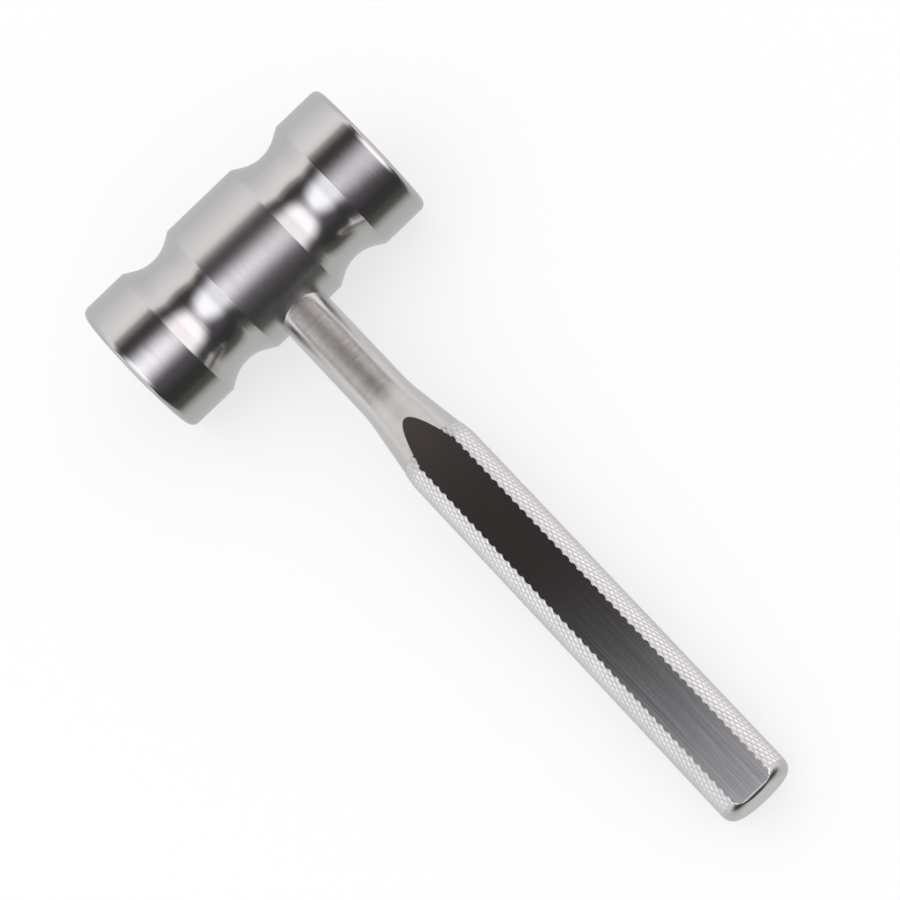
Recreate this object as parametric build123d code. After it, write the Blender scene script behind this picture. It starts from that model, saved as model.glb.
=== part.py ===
from build123d import *
from math import asin, atan2, cos, degrees, hypot, radians, sin, sqrt, tan
import os

# A solid steel bone mallet, lying on a table on the bands of its head and the end of its grip.
# Lengths are millimetres. While the pieces are made, the head's axis is X, the handle runs
# along -Y from it and the flats of the grip face up and down. Places along the handle are
# measured from the head's axis.

# Head: one turned bar with a band at each end, a wide band in the middle and a waist between
head_diameter = 37.0
end_band_length = 13.0
centre_band_length = 20.2
waist_length = 14.5
waist_floor_radius = 9.7  # the rounded bottom of a waist
waist_flank_angle = 30.0  # slope of its straight sides against the head's axis
strike_edge_radius = 1.9  # round at the rim of each striking face

# Socket in the centre band, and the end of the handle that sits in it
socket_end_wall = 13.0  # metal left beyond the socket's bottom
seat_clearance = 0.02
spigot_chamfer = 0.8

# Handle: one turned bar, plain next to the head, flared to a thicker knurled grip
stem_diameter = 12.7
handle_reach = 171.7  # from the head's axis to the end of the grip
flare_start = 48.4
flare_angle = 8.1  # half angle of the cone
flare_stem_blend = 35.0
flare_grip_blend = 30.0
grip_diameter = 18.3  # over the crests of the knurl
grip_across_flats = 14.9
tail_radius = 2.8  # rounded end of the grip

head_radius = head_diameter / 2
head_length = 2 * end_band_length + 2 * waist_length + centre_band_length
socket_bottom = head_radius - socket_end_wall  # beyond the head's axis, away from the grip
stem_radius = stem_diameter / 2
grip_radius = grip_diameter / 2
flat_height = grip_across_flats / 2


def waist_section(centre_x):
    """Half section of the metal turned away at one waist: a rounded floor between two slopes."""
    slope = radians(waist_flank_angle)
    half_length = waist_length / 2
    half_floor = waist_floor_radius * sin(slope)
    floor_rise = waist_floor_radius * (1 - cos(slope))
    floor_edge = head_radius - (half_length - half_floor) * tan(slope)
    left_rim = (centre_x - half_length, head_radius)
    left_floor = (centre_x - half_floor, floor_edge)
    bottom = (centre_x, floor_edge - floor_rise)
    right_floor = (centre_x + half_floor, floor_edge)
    right_rim = (centre_x + half_length, head_radius)
    floor = ThreePointArc(left_floor, bottom, right_floor)
    slopes = [Line(left_rim, left_floor), Line(right_floor, right_rim)]
    return make_face(Curve() + slopes + [floor, Line(right_rim, left_rim)])


def head_section():
    """Half section of the head above its axis."""
    waist_centre = (centre_band_length + waist_length) / 2
    blank = Pos(0, head_radius / 2) * Rectangle(head_length, head_radius)
    section = blank - waist_section(waist_centre) - waist_section(-waist_centre)
    left_corner = section.vertices().sort_by_distance((-head_length / 2, head_radius))[0]
    right_corner = section.vertices().sort_by_distance((head_length / 2, head_radius))[0]
    return fillet([left_corner, right_corner], strike_edge_radius)


def socket():
    """The blind hole in the centre band that takes the handle, open towards -Y."""
    depth = socket_bottom + head_radius
    hole = Cylinder(stem_radius + seat_clearance, depth)
    return Pos(0, socket_bottom - depth / 2, 0) * Rot(90, 0, 0) * hole


def make_head():
    """The head's turned body with the socket bored into it."""
    return revolve(head_section(), Axis.X) - socket()


def handle_section():
    """Half section of the turned handle, on the +X side of its axis."""
    spigot_end = socket_bottom - seat_clearance
    flare_end = flare_start + (grip_radius - stem_radius) / tan(radians(flare_angle))
    spigot_corner = (stem_radius, spigot_end)
    stem_corner = (stem_radius, -flare_start)
    grip_corner = (grip_radius, -flare_end)
    tail_corner = (grip_radius, -handle_reach)
    corners = [(0, spigot_end), spigot_corner, stem_corner, grip_corner, tail_corner, (0, -handle_reach)]
    section = make_face(Polyline(corners, close=True))
    section = fillet(section.vertices().sort_by_distance(stem_corner)[0], flare_stem_blend)
    section = fillet(section.vertices().sort_by_distance(grip_corner)[0], flare_grip_blend)
    section = fillet(section.vertices().sort_by_distance(tail_corner)[0], tail_radius)
    return chamfer(section.vertices().sort_by_distance(spigot_corner)[0], spigot_chamfer)


def flat_cuts():
    """What is milled off above and below the grip: each flat runs out by itself on the flare."""
    milled_length = handle_reach - flare_start
    milled_depth = grip_diameter
    block = Box(2 * grip_diameter, milled_length, milled_depth)
    middle = -flare_start - milled_length / 2
    above = Pos(0, middle, flat_height + milled_depth / 2) * block
    below = Pos(0, middle, -flat_height - milled_depth / 2) * block
    return [above, below]


def make_handle():
    """The turned handle with its two flats."""
    return revolve(handle_section(), Axis.Y) - flat_cuts()


def tail_contact():
    """Place along the handle, and depth below its axis, of the edge that touches the table."""
    rounding_centre = grip_radius - tail_radius
    across = flat_height - rounding_centre
    if across <= 0:
        return handle_reach, flat_height
    along = sqrt(tail_radius ** 2 - across ** 2)
    return handle_reach - tail_radius + along, flat_height


def rest_slope():
    """Angle by which the handle slopes down to its end when the mallet lies on a table."""
    along, below = tail_contact()
    return degrees(asin(head_radius / hypot(along, below)) - atan2(below, along))


def laid_down(pieces):
    """The pieces as they come to rest, with the origin under the middle of their box."""
    sloped = [Rot(rest_slope(), 0, 0) * piece for piece in pieces]
    boxes = [piece.bounding_box() for piece in sloped]
    front = min(box.min.Y for box in boxes)
    back = max(box.max.Y for box in boxes)
    table = min(box.min.Z for box in boxes)
    return [Pos(0, -(front + back) / 2, -table) * piece for piece in sloped]


os.makedirs("parts", exist_ok=True)
head, handle = laid_down([make_head(), make_handle()])
export_step(head, "parts/head.step")
export_step(handle, "parts/handle.step")
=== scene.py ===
import bmesh
import bpy
from math import asin, atan2, ceil, cos, degrees, hypot, pi, radians, sin, sqrt, tan
from mathutils import Matrix, Vector


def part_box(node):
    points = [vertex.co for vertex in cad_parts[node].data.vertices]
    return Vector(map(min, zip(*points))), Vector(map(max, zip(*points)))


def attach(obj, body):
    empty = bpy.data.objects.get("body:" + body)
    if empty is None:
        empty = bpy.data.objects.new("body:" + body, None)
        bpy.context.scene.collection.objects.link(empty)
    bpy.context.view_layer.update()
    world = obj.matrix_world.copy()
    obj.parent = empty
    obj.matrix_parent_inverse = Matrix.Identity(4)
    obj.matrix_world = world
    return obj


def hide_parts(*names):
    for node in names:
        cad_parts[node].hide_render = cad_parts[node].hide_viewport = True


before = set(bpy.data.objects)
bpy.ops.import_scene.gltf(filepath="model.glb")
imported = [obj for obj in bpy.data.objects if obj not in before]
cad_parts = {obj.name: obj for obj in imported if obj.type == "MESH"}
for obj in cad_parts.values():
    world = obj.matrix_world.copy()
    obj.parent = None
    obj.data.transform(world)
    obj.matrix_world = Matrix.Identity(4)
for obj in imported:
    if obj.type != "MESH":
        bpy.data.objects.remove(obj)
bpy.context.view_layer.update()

# A steel surgical mallet lying on a pale floor. Lengths are metres, angles are degrees.
# Pieces are made with the head's axis on X and the handle along -Y, then laid down at rest.

headLow, headHigh = (Vector(corner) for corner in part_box("head"))
headMiddle = (headLow + headHigh) / 2
headRadius = (headHigh.z - headLow.z) / 2
headHalfLength = (headHigh.x - headLow.x) / 2

hair = 1e-7  # corners nearer than this are one corner
touch = 1e-6  # a corner nearer to a plane than this lies on it


class Signal:  # a shader socket that can be used in sums, products and comparisons
    def __init__(self, tree, socket=None):
        self.tree = tree
        self.socket = socket

    def node(self, kind, settings=None, inputs=None, output=0):
        made = self.tree.nodes.new(kind)
        for name, value in (settings or {}).items():
            if name == "stops":
                self.setStops(made.color_ramp.elements, value)
            else:
                setattr(made, name, value)
        for key, value in (inputs or {}).items():
            if isinstance(value, Signal):
                self.tree.links.new(value.socket, made.inputs[key])
            else:
                made.inputs[key].default_value = value
        return Signal(self.tree, made.outputs[output])

    def setStops(self, elements, stops):
        while len(elements) < len(stops):
            elements.new(0.5)
        for element, (position, colour) in zip(elements, stops):
            element.position = position
            element.color = (*colour, 1)

    def split(self, axes):
        parts = self.node("ShaderNodeSeparateXYZ", None, {"Vector": self}).socket.node
        return [Signal(self.tree, parts.outputs[axis]) for axis in axes]

    def maths(self, operation, *values):
        return self.node("ShaderNodeMath", {"operation": operation}, dict(enumerate(values)))

    def __add__(self, other):
        return self.maths("ADD", self, other)

    def __sub__(self, other):
        return self.maths("SUBTRACT", self, other)

    def __rsub__(self, other):
        return self.maths("SUBTRACT", other, self)

    def __mul__(self, other):
        return self.maths("MULTIPLY", self, other)

    def __truediv__(self, other):
        return self.maths("DIVIDE", self, other)

    __radd__ = __add__
    __rmul__ = __mul__


def restSlope(handle):  # how far the handle slopes down to its end, from the edge that it rests on
    across = handle["flatHeight"] - (handle["gripRadius"] - handle["tailRound"])
    along = handle["reach"] - handle["tailRound"] + sqrt(handle["tailRound"] ** 2 - across ** 2)
    below = handle["flatHeight"]
    return asin(headRadius / hypot(along, below)) - atan2(below, along)


def drawOutline(corners, fineness):
    # Half section as a chain of edges: x is the place along the axis and y the radius.
    # Each corner is (place, radius, rounding); an arc takes one step for each fineness degrees.
    bm = bmesh.new()
    tip = bm.verts.new((*corners[0][:2], 0))
    for before, corner, after in zip(corners, corners[1:], corners[2:] + [None]):
        place = Vector((*corner[:2], 0))
        incoming = (place - Vector((*before[:2], 0))).normalized()
        rounding = corner[2] if after else 0
        turn = 0
        if rounding:
            outgoing = (Vector((*after[:2], 0)) - place).normalized()
            turn = atan2(incoming.cross(outgoing).z, incoming.dot(outgoing))
            place -= incoming * rounding * tan(abs(turn) / 2)
        tip = bmesh.ops.extrude_vert_indiv(bm, verts=[tip])["verts"][0]
        tip.co = place
        if turn:
            side = rounding if turn > 0 else -rounding
            centre = place + Vector((-incoming.y, incoming.x, 0)) * side
            steps = max(2, ceil(abs(degrees(turn)) / fineness))
            arc = bmesh.ops.spin(bm, geom=[tip], cent=centre, axis=(0, 0, 1), angle=turn, steps=steps)
            tip = arc["geom_last"][0]
    return bm


def outlineRings(corners, fineness):  # the same outline as a list of (place, radius)
    bm = drawOutline(corners, fineness)
    bm.verts.ensure_lookup_table()
    rings = [(vert.co.x, vert.co.y) for vert in bm.verts]
    bm.free()
    return rings


def layDown(bm, handle):
    slope = Matrix.Rotation(restSlope(handle), 4, "X")
    bmesh.ops.transform(bm, matrix=Matrix.Translation(headMiddle) @ slope, verts=bm.verts)


def addObject(bm, name, materials):
    mesh = bpy.data.meshes.new(name)
    bm.to_mesh(mesh)
    bm.free()
    for material in materials:
        mesh.materials.append(material)
    made = bpy.data.objects.new(name, mesh)
    bpy.context.collection.objects.link(made)
    return made


def addPiece(bm, name, materials, node):
    piece = addObject(bm, name, materials)
    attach(piece, "root")
    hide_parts(node)
    print(name, "has", len(piece.data.polygons), "faces")


def addSquare(name, size, material):
    bm = bmesh.new()
    bmesh.ops.create_grid(bm, x_segments=1, y_segments=1, size=size / 2)
    return addObject(bm, name, [material])


def axesAt(place, right, up, towards):  # a matrix that puts something there, turned to those axes
    return Matrix((
        (right.x, up.x, towards.x, place.x),
        (right.y, up.y, towards.y, place.y),
        (right.z, up.z, towards.z, place.z),
        (0, 0, 0, 1)))


# Materials

def steel(name, finish):
    # Steel with fine tool marks. They spread what it mirrors along finish["across"], the way that
    # crosses them. The marks and streaks are so many to the metre. Spread is how steep they are and
    # gloss how dull the steel is, first in the head's waists and faces and then on its bands.
    material = bpy.data.materials.new(name)
    material.use_nodes = True
    tree = material.node_tree
    shader = tree.nodes["Principled BSDF"]
    shader.inputs["Metallic"].default_value = 1
    here = Signal(tree).node("ShaderNodeTexCoord", output=3)
    local = here.node("ShaderNodeMapping", {"vector_type": "TEXTURE"}, {
        "Vector": here, "Location": headMiddle, "Rotation": (finish["slope"], 0, 0)})
    x, y, z = local.split("XYZ")
    worked = 1
    if finish["run"] == "round the head":
        reach = y.maths("SQRT", y * y + z * z)
        worked = reach.node("ShaderNodeMapRange", {"interpolation_type": "SMOOTHSTEP"}, {
            "Value": reach, "From Min": finish["worked"][0], "From Max": finish["worked"][1]})
        place = x + reach
    elif finish["run"] == "round the handle":
        place = y
    else:
        place = x
    grain = here.node("ShaderNodeTexNoise", {"noise_dimensions": "1D"}, {
        "W": place * finish["marks"], "Scale": 1, "Detail": 3, "Roughness": 0.7})
    stretch = here.node("ShaderNodeVectorMath", {"operation": "MULTIPLY"}, {0: local, 1: finish["streaks"]})
    streak = here.node("ShaderNodeTexNoise", None, {
        "Vector": stretch, "Scale": 1, "Detail": 3, "Roughness": 0.6})
    smooth, rough = finish["spread"]
    steep = (rough - smooth) * worked + smooth
    lean = ((grain - 0.5) + (streak - 0.5) * finish["streakShare"]) * steep
    normal = here.node("ShaderNodeNewGeometry", output=1)
    tilt = here.node("ShaderNodeVectorMath", {"operation": "SCALE"}, {0: finish["across"], "Scale": lean})
    tilted = here.node("ShaderNodeVectorMath", {"operation": "ADD"}, {0: normal, 1: tilt})
    unit = here.node("ShaderNodeVectorMath", {"operation": "NORMALIZE"}, {0: tilted})
    tree.links.new(unit.socket, shader.inputs["Normal"])
    smoothGloss, roughGloss = finish["gloss"]
    gloss = streak * finish["glossSpread"] + ((roughGloss - smoothGloss) * worked + smoothGloss)
    if "middle" in finish:
        central = x.maths("LESS_THAN", x.maths("ABSOLUTE", x), finish["middle"])
        gloss += central * worked * finish["middleGloss"]
    tree.links.new(gloss.socket, shader.inputs["Roughness"])
    cloud = here.node("ShaderNodeTexNoise", None, {"Vector": here, "Scale": finish["cloud"], "Detail": 2})
    tint = here.node("ShaderNodeMix", {"data_type": "RGBA"}, {
        0: cloud, 6: (*finish["dull"], 1), 7: (*finish["bright"], 1)}, output=2)
    tree.links.new(tint.socket, shader.inputs["Base Color"])
    return material


# Head

def makeHead(handle):
    head = {
        "endBand": 0.0130,
        "waist": 0.0145,
        "floorRadius": 0.0097,
        "flankAngle": 30,
        "strikeRound": 0.0019,
        "rimRound": 0.0003,
        "arcStep": 3,
        "roundSteps": 288,
        "faceOn": 0.999,  # what looks along the axis more squarely than this is shaded flat
        "waistLip": (0.0006, 0.0002),  # over these depths the waists' finish gives way to the bands'
    }
    edge = headHalfLength
    outerRim = edge - head["endBand"]
    innerRim = outerRim - head["waist"]
    bottom = (outerRim + innerRim) / 2
    vee = headRadius - head["waist"] / 2 * tan(radians(head["flankAngle"]))
    rightHalf = [
        (innerRim, headRadius, head["rimRound"]),
        (bottom, vee, head["floorRadius"]),
        (outerRim, headRadius, head["rimRound"]),
        (edge, headRadius, head["strikeRound"]),
        (edge, 0, 0),
    ]
    leftHalf = [(-place, radius, rounding) for place, radius, rounding in reversed(rightHalf)]
    bm = drawOutline(leftHalf + rightHalf, head["arcStep"])
    bmesh.ops.spin(
        bm, geom=bm.verts[:] + bm.edges[:], cent=(0, 0, 0), axis=(1, 0, 0),
        angle=2 * pi, steps=head["roundSteps"], use_merge=True)
    bmesh.ops.remove_doubles(bm, verts=bm.verts, dist=hair)
    bmesh.ops.recalc_face_normals(bm, faces=bm.faces)
    for face in bm.faces:
        face.smooth = abs(face.normal.x) < head["faceOn"]
    layDown(bm, handle)
    turned = steel("turned steel", {
        "run": "round the head", "slope": restSlope(handle), "across": (1, 0, 0), "marks": 60000,
        "streaks": (2400, 90, 90), "streakShare": 0.6, "spread": (0.22, 0.16),
        "gloss": (0.13, 0.14), "glossSpread": 0.06, "cloud": 60,
        "worked": [headRadius - depth for depth in head["waistLip"]],
        "middle": innerRim, "middleGloss": 0.05,  # the centre band is duller than the other two
        "dull": (0.72, 0.71, 0.72), "bright": (0.79, 0.78, 0.79)})
    addPiece(bm, "mallet_head", [turned], "head")


# Handle

handle = {
    "stemRadius": 0.00635,
    "gripRadius": 0.00915,  # over the crests
    "flatHeight": 0.00745,
    "reach": 0.17169,
    "flareStart": 0.0484,
    "flareAngle": 8.1,
    "stemBlend": 0.035,
    "gripBlend": 0.030,
    "tailRound": 0.0028,
    "flatEndRound": 0.0010,
    "spigotEnd": 0.00548,
    "spigotBreak": 0.0008,
    "knurlStart": 0.0639,
    "knurlStarts": 42,  # helices each way
    "knurlHelix": 30,
    "knurlDepth": 0.00022,
    "knurlFlank": 0.00034,  # width of a diamond's sloping sides
    "crestBreak": 0.00005,
    "knurlRise": 0.00015,  # how far the crests stand above the turned flare
    "knurlSpare": 0.0013,  # the knurl is made this much too long at each end, and cut off square
    "flatSpare": 2e-6,  # metal left above the flats beside their end rounds, for the milling to take off
    "ringStep": 0.0006,
    "flareArcStep": 0.4,
    "tailArcStep": 5,
    "faceOn": 0.99,
}


def knurlLattice(handle, start, end):
    # Diamonds laid round and along the grip, each a flat-topped pyramid between crossed grooves
    valley = handle["gripRadius"] - handle["knurlDepth"] - handle["crestBreak"] / 2
    halfTurn = pi / handle["knurlStarts"]
    halfPeriod = handle["gripRadius"] * halfTurn / tan(radians(handle["knurlHelix"]))
    bm = bmesh.new()
    corners = [(-halfTurn, 0), (0, -halfPeriod), (halfTurn, 0), (0, halfPeriod)]
    bm.faces.new([
        bm.verts.new((valley * sin(turn), -start + along, valley * cos(turn))) for turn, along in corners])
    bmesh.ops.spin(
        bm, geom=bm.verts[:] + bm.edges[:] + bm.faces[:], cent=(0, 0, 0), axis=(0, 1, 0),
        angle=2 * pi - 2 * halfTurn, steps=handle["knurlStarts"] - 1, use_duplicate=True)
    ring = bm.verts[:] + bm.edges[:] + bm.faces[:]
    shift = Matrix.Translation((0, -halfPeriod, 0)) @ Matrix.Rotation(halfTurn, 4, "Y")
    for row in range(ceil((end - start) / halfPeriod) + 1):
        ring = bmesh.ops.duplicate(bm, geom=ring)["geom"]
        verts = [part for part in ring if isinstance(part, bmesh.types.BMVert)]
        bmesh.ops.transform(bm, matrix=shift, verts=verts)
    bmesh.ops.remove_doubles(bm, verts=bm.verts, dist=touch)
    bmesh.ops.recalc_face_normals(bm, faces=bm.faces)
    if bm.faces[0].normal.dot(bm.faces[0].calc_center_median() * Vector((1, 0, 1))) < 0:
        bmesh.ops.reverse_faces(bm, faces=bm.faces)
    diamonds = bm.faces[:]
    bmesh.ops.inset_individual(
        bm, faces=diamonds, thickness=handle["knurlFlank"], depth=handle["knurlDepth"], use_even_offset=True)
    crest = handle["crestBreak"]
    bmesh.ops.inset_individual(bm, faces=diamonds, thickness=crest, depth=crest / 2, use_even_offset=True)
    return bm


def radiusAt(along, rings):
    for (nearPlace, nearRadius), (farPlace, farRadius) in zip(rings, rings[1:]):
        if nearPlace <= along <= farPlace:
            share = (along - nearPlace) / max(farPlace - nearPlace, hair)
            return nearRadius + (farRadius - nearRadius) * share
    return rings[-1][1]


def followFlare(bm, handle, rings):  # the knurl climbs the last of the flare
    for vert in bm.verts:
        flat = Vector((vert.co.x, 0, vert.co.z))
        crest = min(radiusAt(-vert.co.y, rings) + handle["knurlRise"], handle["gripRadius"])
        radius = flat.length - handle["gripRadius"] + crest
        vert.co.x, vert.co.z = flat.x * radius / flat.length, flat.z * radius / flat.length


def cutEnd(bm, along, towardsTail):  # trims the knurl square on the side that faces that way
    bmesh.ops.bisect_plane(
        bm, geom=bm.verts[:] + bm.edges[:] + bm.faces[:], dist=hair,
        plane_co=(0, -along, 0), plane_no=(0, -1 if towardsTail else 1, 0), clear_outer=True)


def openRim(bm, along):
    rims = [edge for edge in bm.edges if edge.is_boundary]
    return [edge for edge in rims if all(abs(vert.co.y + along) < touch for vert in edge.verts)]


def drawAlong(bm, rim, rings):  # carries an open rim on through rings of (place, radius), and closes it
    for along, radius in rings:
        made = bmesh.ops.extrude_edge_only(bm, edges=rim)["geom"]
        verts = {part for part in made if isinstance(part, bmesh.types.BMVert)}
        rim = [part for part in made if isinstance(part, bmesh.types.BMEdge) and set(part.verts) <= verts]
        for vert in verts:
            flat = Vector((vert.co.x, 0, vert.co.z)).normalized() * radius
            vert.co = (flat.x, -along, flat.z)
    bmesh.ops.edgeloop_fill(bm, edges=rim)


def finelyStepped(rings, step):  # adds rings where neighbours are far apart
    fine = [rings[0]]
    for (nearPlace, nearRadius), (farPlace, farRadius) in zip(rings, rings[1:]):
        parts = max(1, ceil(abs(farPlace - nearPlace) / step))
        for part in range(1, parts + 1):
            share = part / parts
            radius = nearRadius + (farRadius - nearRadius) * share
            fine.append((nearPlace + (farPlace - nearPlace) * share, radius))
    return fine


def roundFlatEnds(verts, handle):  # a small round runs straight across the end of each flat
    rounding = handle["flatEndRound"]
    for vert in verts:
        near = min(max(rounding - handle["reach"] - vert.co.y, 0), rounding)
        turnedAway = rounding - sqrt(rounding ** 2 - near ** 2)
        limit = handle["flatHeight"] + handle["flatSpare"] - turnedAway
        vert.co.z = max(-limit, min(limit, vert.co.z))


def millFlats(bm, handle):
    for side in (1, -1):
        cut = bmesh.ops.bisect_plane(
            bm, geom=bm.verts[:] + bm.edges[:] + bm.faces[:], dist=hair,
            plane_co=(0, 0, side * handle["flatHeight"]), plane_no=(0, 0, side), clear_outer=True)
        rim = [part for part in cut["geom_cut"] if isinstance(part, bmesh.types.BMEdge)]
        bmesh.ops.edgeloop_fill(bm, edges=rim)


def makeHandle():
    knurlEnd = handle["reach"] - handle["tailRound"]
    flareLength = (handle["gripRadius"] - handle["stemRadius"]) / tan(radians(handle["flareAngle"]))
    flareEnd = handle["flareStart"] + flareLength
    rings = outlineRings([
        (-handle["spigotEnd"], handle["stemRadius"] - handle["spigotBreak"], 0),
        (-handle["spigotEnd"] + handle["spigotBreak"], handle["stemRadius"], 0),
        (handle["flareStart"], handle["stemRadius"], handle["stemBlend"]),
        (flareEnd, handle["gripRadius"], handle["gripBlend"]),
        (handle["reach"], handle["gripRadius"], 0),
    ], handle["flareArcStep"])
    crestRadius = handle["gripRadius"] - handle["crestBreak"]
    tail = outlineRings([
        (knurlEnd, crestRadius, 0),
        (handle["reach"], crestRadius, handle["tailRound"] - handle["crestBreak"]),
        (handle["reach"], handle["stemRadius"] / 2, 0),
    ], handle["tailArcStep"])
    bm = knurlLattice(handle, handle["knurlStart"] - handle["knurlSpare"], knurlEnd + handle["knurlSpare"])
    followFlare(bm, handle, rings)
    cutEnd(bm, handle["knurlStart"], False)
    cutEnd(bm, knurlEnd, True)
    knurled = set(bm.faces)
    smooth = [ring for ring in finelyStepped(rings, handle["ringStep"]) if ring[0] < handle["knurlStart"]]
    smooth.append((handle["knurlStart"], radiusAt(handle["knurlStart"], rings)))
    drawAlong(bm, openRim(bm, handle["knurlStart"]), list(reversed(smooth)))
    before = set(bm.verts)
    drawAlong(bm, openRim(bm, knurlEnd), tail)
    roundFlatEnds([vert for vert in bm.verts if vert not in before], handle)
    for face in bm.faces:
        face.material_index = 1 if face in knurled else 0
        face.smooth = face not in knurled and abs(face.normal.y) < handle["faceOn"]
    millFlats(bm, handle)
    for face in bm.faces:
        level = abs(abs(face.calc_center_median().z) - handle["flatHeight"]) < touch
        if level and abs(face.normal.z) > handle["faceOn"]:
            face.material_index = 2
            face.smooth = False
    bmesh.ops.recalc_face_normals(bm, faces=bm.faces)
    layDown(bm, handle)
    slope = restSlope(handle)
    along = (0, cos(slope), sin(slope))
    polished = steel("turned stem", {
        "run": "round the handle", "slope": slope, "across": along, "marks": 60000,
        "streaks": (60, 900, 60), "streakShare": 0.02, "spread": (1.2, 1.2),
        "gloss": (0.15, 0.15), "glossSpread": 0.04, "cloud": 60,
        "dull": (0.80, 0.78, 0.77), "bright": (0.87, 0.85, 0.84)})
    knurl = steel("knurled steel", {
        "run": "round the handle", "slope": slope, "across": along, "marks": 9000,
        "streaks": (3000, 3000, 3000), "streakShare": 1, "spread": (0.15, 0.15),
        "gloss": (0.30, 0.30), "glossSpread": 0.08, "cloud": 200,
        "dull": (0.76, 0.75, 0.76), "bright": (0.87, 0.86, 0.87)})
    brushed = steel("brushed flat", {
        "run": "along the handle", "slope": slope, "across": (1, 0, 0), "marks": 60000,
        "streaks": (2600, 40, 40), "streakShare": 0.5, "spread": (0.30, 0.30),
        "gloss": (0.07, 0.07), "glossSpread": 0.05, "cloud": 60,
        "dull": (0.70, 0.71, 0.72), "bright": (0.78, 0.79, 0.80)})
    addPiece(bm, "mallet_handle", [polished, knurl, brushed], "handle")


# Camera

camera = {
    "metresPerPixel": 0.0002319,  # at the head's middle
    "framePixels": 900,
    "headPixel": (254.7, 258.6),
    "distance": 0.6993,
    "leanToGrip": 17.62,  # the camera stands this far towards the grip from square above the handle
    "leanAside": 1.0,
    "turn": 43.68,  # how far the handle is turned from straight down the picture
    "sensor": 36,  # millimetres
    "nearest": 0.01,
}


def cameraAxes():  # across the head, up the picture from the grip, and towards the camera
    slope = restSlope(handle)
    alongHandle = Vector((0, -cos(slope), -sin(slope)))
    squareAbove = Vector((0, -sin(slope), cos(slope)))
    lean = radians(camera["leanToGrip"])
    towards = squareAbove * cos(lean) + alongHandle * sin(lean)
    towards = (towards + Vector((tan(radians(camera["leanAside"])), 0, 0))).normalized()
    across = Vector((1, 0, 0))
    across = (across - towards * across.dot(towards)).normalized()
    return across, towards.cross(across), towards


def makeCamera():
    across, upHandle, towards = cameraAxes()
    turn = radians(camera["turn"])
    right = across * cos(turn) - upHandle * sin(turn)
    up = across * sin(turn) + upHandle * cos(turn)
    middle = camera["framePixels"] / 2
    offRight = (middle - camera["headPixel"][0]) * camera["metresPerPixel"]
    offUp = (camera["headPixel"][1] - middle) * camera["metresPerPixel"]
    place = headMiddle + right * offRight + up * offUp + towards * camera["distance"]
    lens = bpy.data.cameras.new("camera")
    lens.sensor_width = camera["sensor"]
    lens.lens = camera["sensor"] * camera["distance"] / (camera["metresPerPixel"] * camera["framePixels"])
    lens.clip_start = camera["nearest"]
    viewer = bpy.data.objects.new("camera", lens)
    bpy.context.collection.objects.link(viewer)
    viewer.matrix_world = axesAt(place, right, up, towards)
    bpy.context.scene.camera = viewer


# Studio

studio = {
    "floorSize": 4.0,
    "floorColour": (0.90, 0.90, 0.90),
    "floorRoughness": 0.9,
    "floorGlow": 0.65,  # share of plain white in the floor that the camera sees
    "open": 1.05,  # the white that lights the floor and shows behind it
    # What the steel mirrors, by angle round the head's axis from the camera: positive is towards the grip
    "room": [
        (-180, (0.58, 0.60, 0.60)), (-115, (0.60, 0.60, 0.60)), (-90, (0.71, 0.69, 0.69)),
        (-60, (0.86, 0.85, 0.83)), (-50, (0.80, 0.78, 0.76)), (-46, (0.30, 0.26, 0.235)),
        (-40, (0.19, 0.155, 0.135)), (-35, (0.034, 0.028, 0.025)), (-26, (0.022, 0.020, 0.023)),
        (-10, (0.08, 0.07, 0.08)), (35, (0.09, 0.075, 0.09)), (60, (0.03, 0.03, 0.03)),
        (76, (0.03, 0.03, 0.03)), (84, (0.07, 0.07, 0.06)), (95, (0.09, 0.09, 0.07)),
        (102, (0.36, 0.36, 0.33)), (115, (0.52, 0.52, 0.49)), (180, (0.58, 0.60, 0.60))],
    # The room's edges lie this much farther away where it is seen roomCurveAt degrees to the side
    "roomCurve": 12,
    "roomCurveAt": 53,
    "roomCurvePower": 6,
    # The bright cloth that the camera stands in, by the same angles as seen from the head
    "panelLeft": (1.30, 1.30, 1.35),
    "panelRight": (1.38, 1.30, 1.33),
    # Its far and near edges straight ahead, and their change by degree to a side and rightwards
    "panelFar": (-5, -0.34, 0.02),
    "panelNear": (20, 0.42, 0.10),
    "panelStep": 8,  # its near edge comes this much nearer from left to right of the camera
    "panelStepOver": (-12, 12),
    "panelTintOver": (-30, 30),
    "panelBlur": 15,
    "panelAway": 0.50,
    "panelSize": 4,
    "shade": (5, 11, 0.53),  # the camera in front of it: place, width and depth
    "panelEnds": (40, 68, 0.30),  # it fades between these angles to the side, by this share
    "endShade": (63, 68),  # the room to the far left and right is plain again
    "sides": 0.70,
    "lampPower": 0.6,
    "lampSize": 0.8,
    "lampPlace": (-0.25, 0.2, 0.9),
}


def makeFloor():
    material = bpy.data.materials.new("pale floor")
    material.use_nodes = True
    tree = material.node_tree
    shader = tree.nodes["Principled BSDF"]
    shader.inputs["Base Color"].default_value = (*studio["floorColour"], 1)
    shader.inputs["Roughness"].default_value = studio["floorRoughness"]
    seen = Signal(tree).node("ShaderNodeLightPath") * studio["floorGlow"]
    white = seen.node("ShaderNodeEmission", None, {"Strength": 1})
    mixed = seen.node("ShaderNodeMixShader", None, {0: seen, 2: white})
    tree.links.new(shader.outputs[0], mixed.socket.node.inputs[1])
    tree.links.new(mixed.socket, tree.nodes["Material Output"].inputs["Surface"])
    floor = addSquare("floor", studio["floorSize"], material)
    floor.visible_glossy = False


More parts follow.
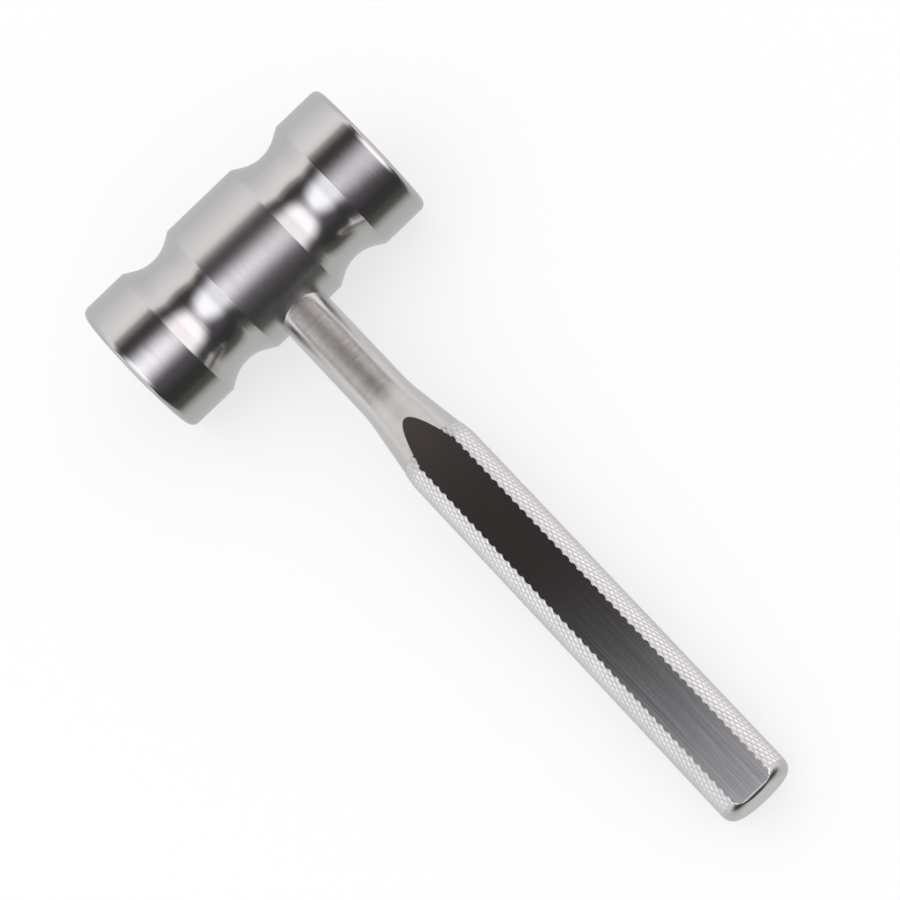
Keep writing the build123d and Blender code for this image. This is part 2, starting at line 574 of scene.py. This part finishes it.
def lookAngles(x, y, z):  # degrees round the head's axis, positive towards the grip, and degrees to the right
    angle = x.maths("ARCTAN2", 0 - y, z) * (180 / pi)
    level = x.maths("SQRT", y * y + z * z)
    return angle, x.maths("ARCTAN2", x, level) * (180 / pi)


def rise(value, start, end):
    return value.node("ShaderNodeMapRange", {"interpolation_type": "SMOOTHSTEP"}, {
        "Value": value, "From Min": start, "From Max": end})


def blend(factor, first, second):
    return factor.node("ShaderNodeMix", {"data_type": "RGBA"}, {0: factor, 6: first, 7: second}, output=2)


def onRamp(angle):  # the place of an angle from -180 to 180 degrees on a colour ramp
    return angle / 360 + 0.5


def makeWorld():
    world = bpy.data.worlds.new("studio")
    bpy.context.scene.world = world
    world.use_nodes = True
    tree = world.node_tree
    tree.nodes.clear()
    way = Signal(tree).node("ShaderNodeTexCoord", output=0)
    angle, side = lookAngles(*(
        way.node("ShaderNodeVectorMath", {"operation": "DOT_PRODUCT"}, {0: way, 1: axis}, output=1)
        for axis in cameraAxes()))
    aside = side.maths("ABSOLUTE", side)
    share = aside / studio["roomCurveAt"]
    bend = share.maths("POWER", share, studio["roomCurvePower"]) * studio["roomCurve"]
    bend *= side.maths("LESS_THAN", angle, 0)
    room = way.node("ShaderNodeValToRGB", {
        "stops": [(onRamp(place), colour) for place, colour in studio["room"]]}, {0: onRamp(angle + bend)})
    mirrored = blend(rise(aside, *studio["endShade"]), room, (studio["sides"],) * 3 + (1,))
    glossy = way.node("ShaderNodeLightPath", output=3)
    light = blend(glossy, (studio["open"],) * 3 + (1,), mirrored)
    sky = way.node("ShaderNodeBackground", None, {"Color": light, "Strength": 1})
    out = tree.nodes.new("ShaderNodeOutputWorld")
    tree.links.new(sky.socket, out.inputs["Surface"])


def makePanel():  # seen only as the steel mirrors it
    material = bpy.data.materials.new("bright cloth")
    material.use_nodes = True
    tree = material.node_tree
    tree.nodes.clear()
    here = Signal(tree).node("ShaderNodeTexCoord", output=3)
    x, y = here.split("XY")
    angle, side = lookAngles(x, y, studio["panelAway"])
    aside = side.maths("ABSOLUTE", side)
    blur = studio["panelBlur"]
    far, near = (aside * outwards + side * rightwards + straight for straight, outwards, rightwards in (
        studio["panelFar"], studio["panelNear"]))
    near += rise(side, *studio["panelStepOver"]) * studio["panelStep"]
    within = rise(angle - far, -blur, blur) * rise(near - angle, -blur, blur)
    middle, width, depth = studio["shade"]
    offset = (side - middle) / width
    shade = 1 - offset.maths("EXPONENT", offset * offset * -1) * depth
    start, end, fade = studio["panelEnds"]
    shade *= 1 - rise(aside, start, end) * fade
    tint = blend(
        rise(side, *studio["panelTintOver"]), (*studio["panelLeft"], 1), (*studio["panelRight"], 1))
    glow = here.node("ShaderNodeEmission", None, {"Color": tint, "Strength": shade})
    clear = here.node("ShaderNodeBsdfTransparent")
    mixed = here.node("ShaderNodeMixShader", None, {0: within, 1: clear, 2: glow})
    out = tree.nodes.new("ShaderNodeOutputMaterial")
    tree.links.new(mixed.socket, out.inputs["Surface"])
    panel = addSquare("panel", studio["panelSize"], material)
    across, upHandle, towards = cameraAxes()
    panel.matrix_world = axesAt(headMiddle + towards * studio["panelAway"], across, upHandle, towards)
    panel.visible_camera = False
    panel.visible_diffuse = False
    panel.visible_shadow = False


def makeLamp():
    lamp = bpy.data.lights.new("overhead", "AREA")
    lamp.shape = "DISK"
    lamp.size = studio["lampSize"]
    lamp.energy = studio["lampPower"]
    overhead = bpy.data.objects.new("overhead", lamp)
    bpy.context.collection.objects.link(overhead)
    overhead.location = studio["lampPlace"]
    overhead.rotation_euler = Vector(overhead.location).to_track_quat("Z", "Y").to_euler()
    overhead.visible_glossy = False


scene = bpy.context.scene
scene.view_settings.view_transform = "Standard"
makeCamera()
print("camera placed")
makeHead(handle)
makeHandle()
makeFloor()
makeWorld()
makePanel()
makeLamp()
print("studio lit")
